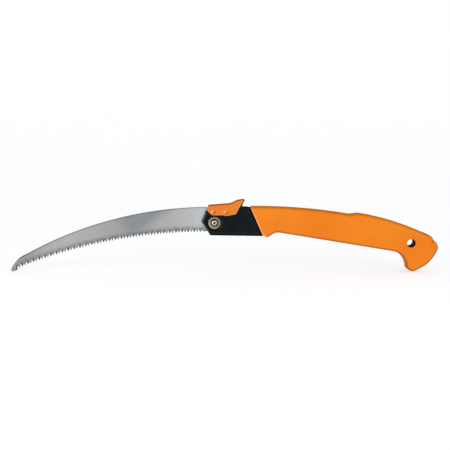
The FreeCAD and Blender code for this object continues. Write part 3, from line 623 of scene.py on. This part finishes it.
def inside(points, loop):
    """Even-odd test of each point against the closed loop."""
    found = np.zeros(len(points), bool)
    for a, b in zip(loop, np.roll(loop, -1, 0)):
        crosses = (a[1] > points[:, 1]) != (b[1] > points[:, 1])
        if crosses.any():
            where = a[0] + (points[:, 1] - a[1]) / (b[1] - a[1] + 1e-12) * (b[0] - a[0])
            found ^= crosses & (points[:, 0] < where)
    return found


def rounded(gap, reach, drop):
    """How far a surface sinks near an edge: drop at the edge, nothing past reach."""
    t = 1 - np.clip(gap / reach, 0, 1)
    return drop * (1 - np.sqrt(np.maximum(0, 1 - t * t)))


def triangulated(loops, cloud):
    """Triangles over flat points, inside the first loop and outside the second."""
    flat = np.concatenate(list(loops) + list(cloud))
    edges = []
    start = 0
    for loop in loops:
        count = len(loop)
        edges += [(start + i, start + (i + 1) % count) for i in range(count)]
        start += count
    points, _, faces, origin, *_ = delaunay_2d_cdt([Vector(p) for p in flat], edges, [], 0, 1e-5)
    points = np.array([tuple(p) for p in points])
    faces = np.array([face for face in faces if len(face) == 3])
    middle = points[faces].mean(1)
    keep = inside(middle, loops[0]) & ~inside(middle, loops[1])
    new_index = {old: new for new, olds in enumerate(origin) for old in olds}
    return points, faces[keep], new_index


def shell_mesh():
    """One closed half of the handle as points and faces, drawn on the +Y side."""
    loop, on_collar = outline_points()
    inward = inward_normals(loop)
    ring = np.array(circle_corners(0, 0, 1, HOLE_POINTS))
    hole = np.array(HOLE)
    hole_loop = hole + ring * HOLE_RADIUS
    cloud = []
    for gap, skip in OUTLINE_ROWS:
        candidates = loop[::skip] + inward[::skip] * gap
        keep = (distance(candidates, loop) > gap * ROW_SLACK) & inside(candidates, loop)
        keep &= np.hypot(*(candidates - hole).T) > HOLE_RADIUS + ROWS_TO_HOLE
        cloud.append(candidates[keep])
    for gap, skip in HOLE_ROWS:
        cloud.append(hole + ring[::skip] * (HOLE_RADIUS + gap))
    xs = np.arange(loop[:, 0].min(), loop[:, 0].max(), GRID_STEP)
    zs = np.arange(loop[:, 1].min(), loop[:, 1].max(), GRID_STEP)
    grid = np.array([(x + (GRID_STEP / 2 if j % 2 else 0), z) for j, z in enumerate(zs) for x in xs])
    keep = inside(grid, loop) & (np.hypot(*(grid - hole).T) > HOLE_RADIUS + GRID_TO_HOLE)
    grid = grid[keep]
    cloud.append(grid[distance(grid, loop) > GRID_MARGIN])
    points, faces, index = triangulated((loop, hole_loop), cloud)
    main_gap = distance(points, loop, ~on_collar)
    collar_gap = distance(points, loop, on_collar)
    hole_gap = np.hypot(*(points - hole).T) - HOLE_RADIUS
    crown = HALF - SWELL * np.exp(-main_gap / SWELL_REACH) - crease_depth(points)
    main = crown - rounded(main_gap, *SIDE_ROUNDING)
    collar = crown - rounded(collar_gap, *COLLAR_ROUNDING)
    height = np.minimum(main, collar) - rounded(hole_gap, *RIM_ROUNDING)
    base, base_faces, base_index = triangulated((loop + inward * SEAM, hole_loop), [])
    total = len(points)
    verts = [place(x, y, z) for (x, z), y in zip(points, height)]
    verts += [place(x, 0.0, z) for x, z in base]
    lip = len(verts)
    verts += [place(x, SEAM, z) for x, z in loop]
    made = [tuple(int(i) for i in face) for face in faces]
    made += [tuple(int(i) + total for i in face[::-1]) for face in base_faces]
    count, holes = len(loop), len(hole_loop)
    for i in range(count):
        j = (i + 1) % count
        made.append((index[j], index[i], lip + i, lip + j))
        made.append((lip + j, lip + i, base_index[i] + total, base_index[j] + total))
    for i in range(holes):
        a, b = count + i, count + (i + 1) % holes
        made.append((index[a], index[b], base_index[b] + total, base_index[a] + total))
    return verts, made


def crease_depth(points):
    """A soft fold that runs into the side from the notch in the butt."""
    a, b = np.array(CREASE)
    run = b - a
    along = ((points - a) @ run) / (run @ run)
    side = np.abs((points - a) @ np.array((-run[1], run[0]))) / np.hypot(*run)
    fade = np.clip(CREASE_LAST - along, 0, 1) * (along > CREASE_FIRST)
    return CREASE_DROP * np.exp(-(side / CREASE_WIDTH) ** 2) * fade


def cutter(name, corners, low, high):
    """A prism over an outline in XZ, between two depths."""
    mesh = bpy.data.meshes.new(name)
    bm = bmesh.new()
    lower = [bm.verts.new(place(x, low, z)) for x, z in corners]
    upper = [bm.verts.new(place(x, high, z)) for x, z in corners]
    bm.faces.new(lower)
    bm.faces.new(upper[::-1])
    for i in range(len(corners)):
        j = (i + 1) % len(corners)
        bm.faces.new((lower[j], lower[i], upper[i], upper[j]))
    bmesh.ops.recalc_face_normals(bm, faces=bm.faces[:])
    bm.to_mesh(mesh)
    bm.free()
    return bpy.data.objects.new(name, mesh)


def circle_corners(x, z, radius, count=32):
    """Corners of a circle, as x and z."""
    return [(x + radius * math.cos(2 * math.pi * i / count),
             z + radius * math.sin(2 * math.pi * i / count)) for i in range(count)]


def slot_corners():
    """The blade slot: its roof follows the folded teeth and its end the blade's tip."""
    roof = arc_points(SLOT_MOUTH, SLOT_ROOF_TURN, SLOT_ROOF_RADIUS, False)
    end = arc_points(SLOT_END_TOP, SLOT_END_LOW, SLOT_END_RADIUS, True)
    return (roof[::8] + [SLOT_ROOF_TURN, SLOT_ROOF_END] + end[::3]
            + [SLOT_END_LOW, SLOT_MOUTH_LOW])


def screw_axis(number):
    """Where a handle screw runs through the shells, as x and z."""
    low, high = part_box("handle_screw_%d" % number)
    return (((low[0] + high[0]) / 2 - PIVOT.x) / MM, ((low[2] + high[2]) / 2 - PIVOT.z) / MM)


def build_shell(name, side):
    """One handle shell with its cuts made; side is -1 for the front and 1 for the rear."""
    verts, faces = shell_mesh()
    if side < 0:
        verts = [Vector((v.x, -v.y, v.z)) for v in verts]
        faces = [face[::-1] for face in faces]
    mesh = bpy.data.meshes.new(name)
    mesh.from_pydata(verts, [], faces)
    mesh.update()
    shell = bpy.data.objects.new(name, mesh)
    bpy.context.collection.objects.link(shell)
    bm = bmesh.new()
    bm.from_mesh(mesh)
    bmesh.ops.recalc_face_normals(bm, faces=bm.faces[:])
    bm.to_mesh(mesh)
    bm.free()
    cuts = [cutter("slot", slot_corners(), -SLOT_HALF, SLOT_HALF),
            cutter("tongue", TONGUE, -TONGUE_HALF, TONGUE_HALF)]
    if side > 0:
        for number in range(1, 7):
            x, z = screw_axis(number)
            recess = circle_corners(x, z, RECESS_RADIUS)
            cuts.append(cutter("recess", recess, RECESS_SEAT, HALF + OVERRUN))
            cuts.append(cutter("way", circle_corners(x, z, WAY_RADIUS), -OVERRUN, WAY_END))
    for tool in cuts:
        bpy.context.collection.objects.link(tool)
        cut = shell.modifiers.new("cut", "BOOLEAN")
        cut.operation = "DIFFERENCE"
        cut.solver = "EXACT"
        cut.object = tool
    bpy.context.view_layer.update()
    depsgraph = bpy.context.evaluated_depsgraph_get()
    done = bpy.data.meshes.new_from_object(shell.evaluated_get(depsgraph))
    shell.modifiers.clear()
    shell.data = done
    for tool in cuts:
        bpy.data.objects.remove(tool)
    done.materials.clear()
    done.materials.append(grip_orange)
    done.shade_smooth()
    done.set_sharp_from_angle(angle=SHARP_ANGLE)
    return shell


for label, side in (("front", -1), ("rear", 1)):
    shell = build_shell("grip_shell_" + label, side)
    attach(shell, "handle")
    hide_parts("handle_" + label)

# ---------------------------------------------------------------- stage, lights, camera

low, high = [Vector(corner) for corner in cad_box]
floor_z = low.z
middle = Vector(((low.x + high.x) / 2, 0, (low.z + high.z) / 2))


def stage_mesh():
    """A pale floor that curves up into a round wall on every side."""
    bm = bmesh.new()
    turns = 72
    flat = 2.4
    bend = 1.3
    wall = 1.6
    profile = [(0.0, 0.0), (flat * 0.5, 0.0), (flat, 0.0)]
    profile += [(flat + bend * math.sin(math.radians(a)), bend * (1 - math.cos(math.radians(a))))
                for a in range(6, 91, 6)]
    profile.append((flat + bend, bend + wall))
    rings = []
    for radius, height in profile:
        if radius == 0:
            rings.append([bm.verts.new((middle.x, 0, floor_z + height))])
            continue
        rings.append([bm.verts.new((middle.x + radius * math.cos(2 * math.pi * i / turns),
                                    radius * math.sin(2 * math.pi * i / turns),
                                    floor_z + height)) for i in range(turns)])
    for inner, outer in zip(rings, rings[1:]):
        for i in range(turns):
            j = (i + 1) % turns
            if len(inner) == 1:
                bm.faces.new((inner[0], outer[i], outer[j]))
            else:
                bm.faces.new((inner[i], outer[i], outer[j], inner[j]))
    mesh = bpy.data.meshes.new("studio_floor")
    bm.to_mesh(mesh)
    bm.free()
    mesh.shade_smooth()
    return mesh


floor = bpy.data.objects.new("studio_floor", stage_mesh())
bpy.context.collection.objects.link(floor)
paper = Nodes("studio_paper")
paper.finish(rough=paper.ramp(paper.noise(paper.coords(), 30.0), [(0.3, 0.85), (0.7, 0.95)]),
             Base_Color=(0.5, 0.5, 0.505, 1), Specular_IOR_Level=0.1,
             Emission_Color=(1, 1, 1, 1), Emission_Strength=0.57)
floor.data.materials.append(paper.material)


def area_light(name, offset, size, power):
    """A rectangular lamp at an offset from the middle of the object, aimed at it."""
    data = bpy.data.lights.new(name, "AREA")
    data.shape = "RECTANGLE"
    data.size, data.size_y = size
    data.energy = power
    light = bpy.data.objects.new(name, data)
    light.location = middle + Vector(offset)
    light.rotation_euler = (-Vector(offset)).to_track_quat("-Z", "Y").to_euler()
    bpy.context.collection.objects.link(light)


area_light("key", (-1.0, -1.5, 0.25), size=(0.9, 0.7), power=12)
area_light("front_fill", (0.9, -1.6, 0.6), size=(1.2, 1.0), power=7)

world = bpy.data.worlds.new("studio")
world.use_nodes = True
world.node_tree.nodes["Background"].inputs["Color"].default_value = (0.95, 0.97, 1.0, 1)
world.node_tree.nodes["Background"].inputs["Strength"].default_value = 0.6
bpy.context.scene.world = world
bpy.context.scene.view_settings.view_transform = "Standard"

# The camera looks along +Y from a little above, and its view is 576 mm wide at the object.
VIEW_WIDTH = 0.576
DISTANCE = 1.28
ELEVATION = math.radians(6.5)
aim = place(13.44, 0.0, -3.46)
data = bpy.data.cameras.new("camera")
data.sensor_width = 36.0
data.lens = data.sensor_width * DISTANCE / VIEW_WIDTH
data.clip_start = 0.01
data.clip_end = 20
camera = bpy.data.objects.new("camera", data)
camera.location = aim + Vector((0, -math.cos(ELEVATION), math.sin(ELEVATION))) * DISTANCE
camera.rotation_euler = (aim - camera.location).to_track_quat("-Z", "Y").to_euler()
bpy.context.collection.objects.link(camera)
bpy.context.scene.camera = camera

bpy.context.view_layer.update()
